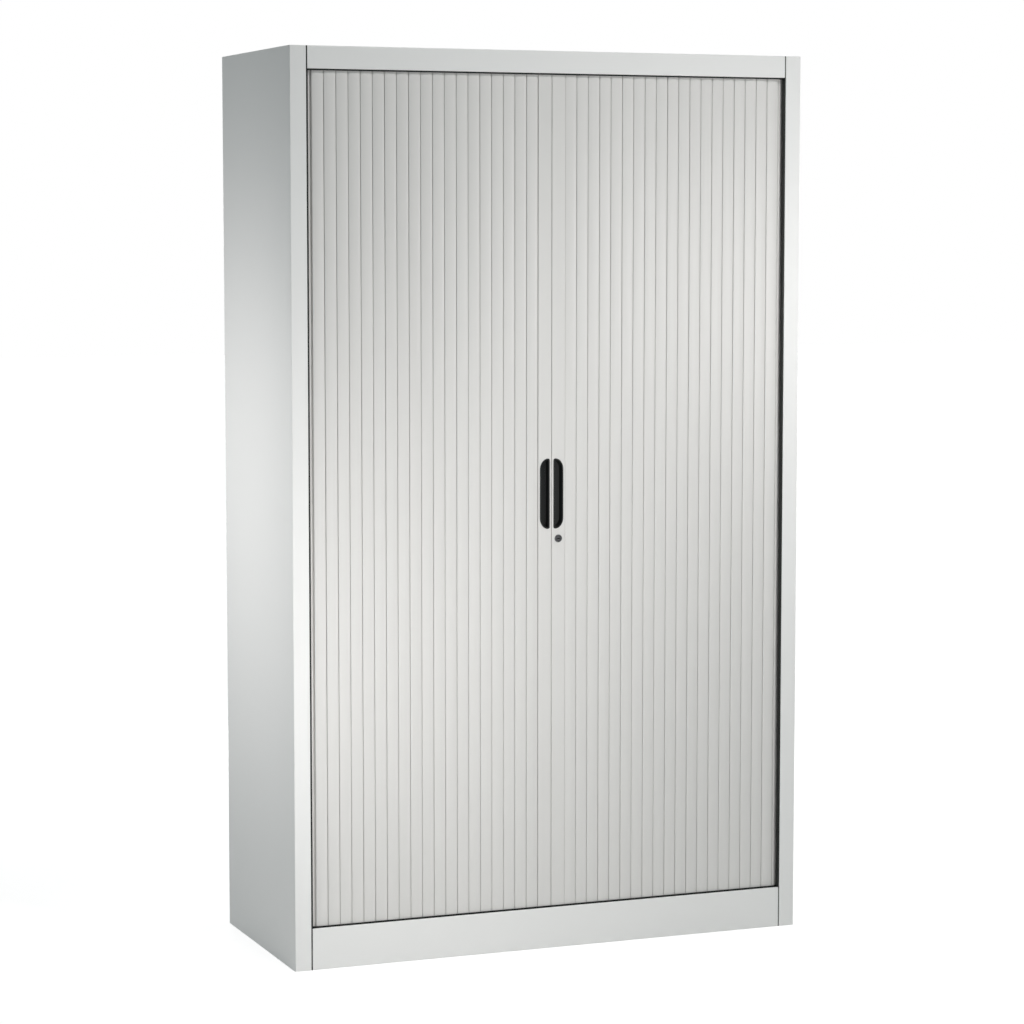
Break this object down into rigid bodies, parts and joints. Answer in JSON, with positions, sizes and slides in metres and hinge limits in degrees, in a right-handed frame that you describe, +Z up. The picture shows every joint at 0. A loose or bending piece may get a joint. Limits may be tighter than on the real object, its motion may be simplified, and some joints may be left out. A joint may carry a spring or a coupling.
{
  "type": "tambour door cabinet",
  "caption": "Tall light grey steel cupboard with two side-opening tambour doors, black recessed grips, a cylinder lock and folded steel shelves inside.",
  "frame": {"origin": "middle of the base, on the floor", "axes": "+Z up, the doors face -Y, +X to the right as seen from the front"},
  "size_m": [1.2, 0.5, 1.98],
  "materials": {
    "steel_lacquer": "satin light grey lacquer",
    "slat_plastic": "satin light grey",
    "black_plastic": "satin black",
    "zinc_steel": "bright zinc plated",
    "lock_metal": "satin nickel"
  },
  "bodies": {
    "cabinet": {"left_side_panel": "steel_lacquer", "right_side_panel": "steel_lacquer", "top_panel": "steel_lacquer", "plinth": "steel_lacquer", "base_deck": "steel_lacquer", "back_panel": "steel_lacquer", "inner_back_panel": "steel_lacquer", "left_liner": "steel_lacquer", "right_liner": "steel_lacquer", "shelf_1": "steel_lacquer", "shelf_2": "steel_lacquer", "shelf_3": "steel_lacquer", "shelf_4": "steel_lacquer", "shelf_clip_01": "zinc_steel", "shelf_clip_02": "zinc_steel", "shelf_clip_03": "zinc_steel", "shelf_clip_04": "zinc_steel", "shelf_clip_05": "zinc_steel", "shelf_clip_06": "zinc_steel", "shelf_clip_07": "zinc_steel", "shelf_clip_08": "zinc_steel", "shelf_clip_09": "zinc_steel", "shelf_clip_10": "zinc_steel", "shelf_clip_11": "zinc_steel", "shelf_clip_12": "zinc_steel", "shelf_clip_13": "zinc_steel", "shelf_clip_14": "zinc_steel", "shelf_clip_15": "zinc_steel", "shelf_clip_16": "zinc_steel", "top_track_left": "black_plastic", "top_track_right": "black_plastic", "bottom_track_left": "black_plastic", "bottom_track_right": "black_plastic", "left_edge_seal": "black_plastic", "right_edge_seal": "black_plastic", "left_curtain": "slat_plastic", "right_curtain": "slat_plastic"},
    "left_door": {"left_lower_lead_slat": "slat_plastic", "left_upper_lead_slat": "slat_plastic", "left_grip_carrier": "slat_plastic", "left_grip": "black_plastic", "left_bottom_glide": "black_plastic", "left_top_glide": "black_plastic", "strike_plate": "zinc_steel"},
    "right_door": {"right_lower_lead_slat": "slat_plastic", "right_upper_lead_slat": "slat_plastic", "right_grip_carrier": "slat_plastic", "right_grip": "black_plastic", "right_bottom_glide": "black_plastic", "right_top_glide": "black_plastic", "lock_housing": "lock_metal", "lock_nut": "zinc_steel"},
    "lock": {"lock_plug": "lock_metal", "lock_hook": "zinc_steel"}
  },
  "joints": [
    {"name": "left_door_slide", "type": "slide", "parent": "cabinet", "child": "left_door", "axis": [-1, 0, 0], "range_m": [0, 0.508], "deforming": ["left_curtain"]},
    {"name": "right_door_slide", "type": "slide", "parent": "cabinet", "child": "right_door", "axis": [1, 0, 0], "range_m": [0, 0.508], "deforming": ["right_curtain"]},
    {"name": "lock_turn", "type": "hinge", "parent": "right_door", "child": "lock", "pos_m": [0.0161, -0.241, 0.916], "axis": [0, 1, 0], "range_deg": [0, 90]}
  ]
}
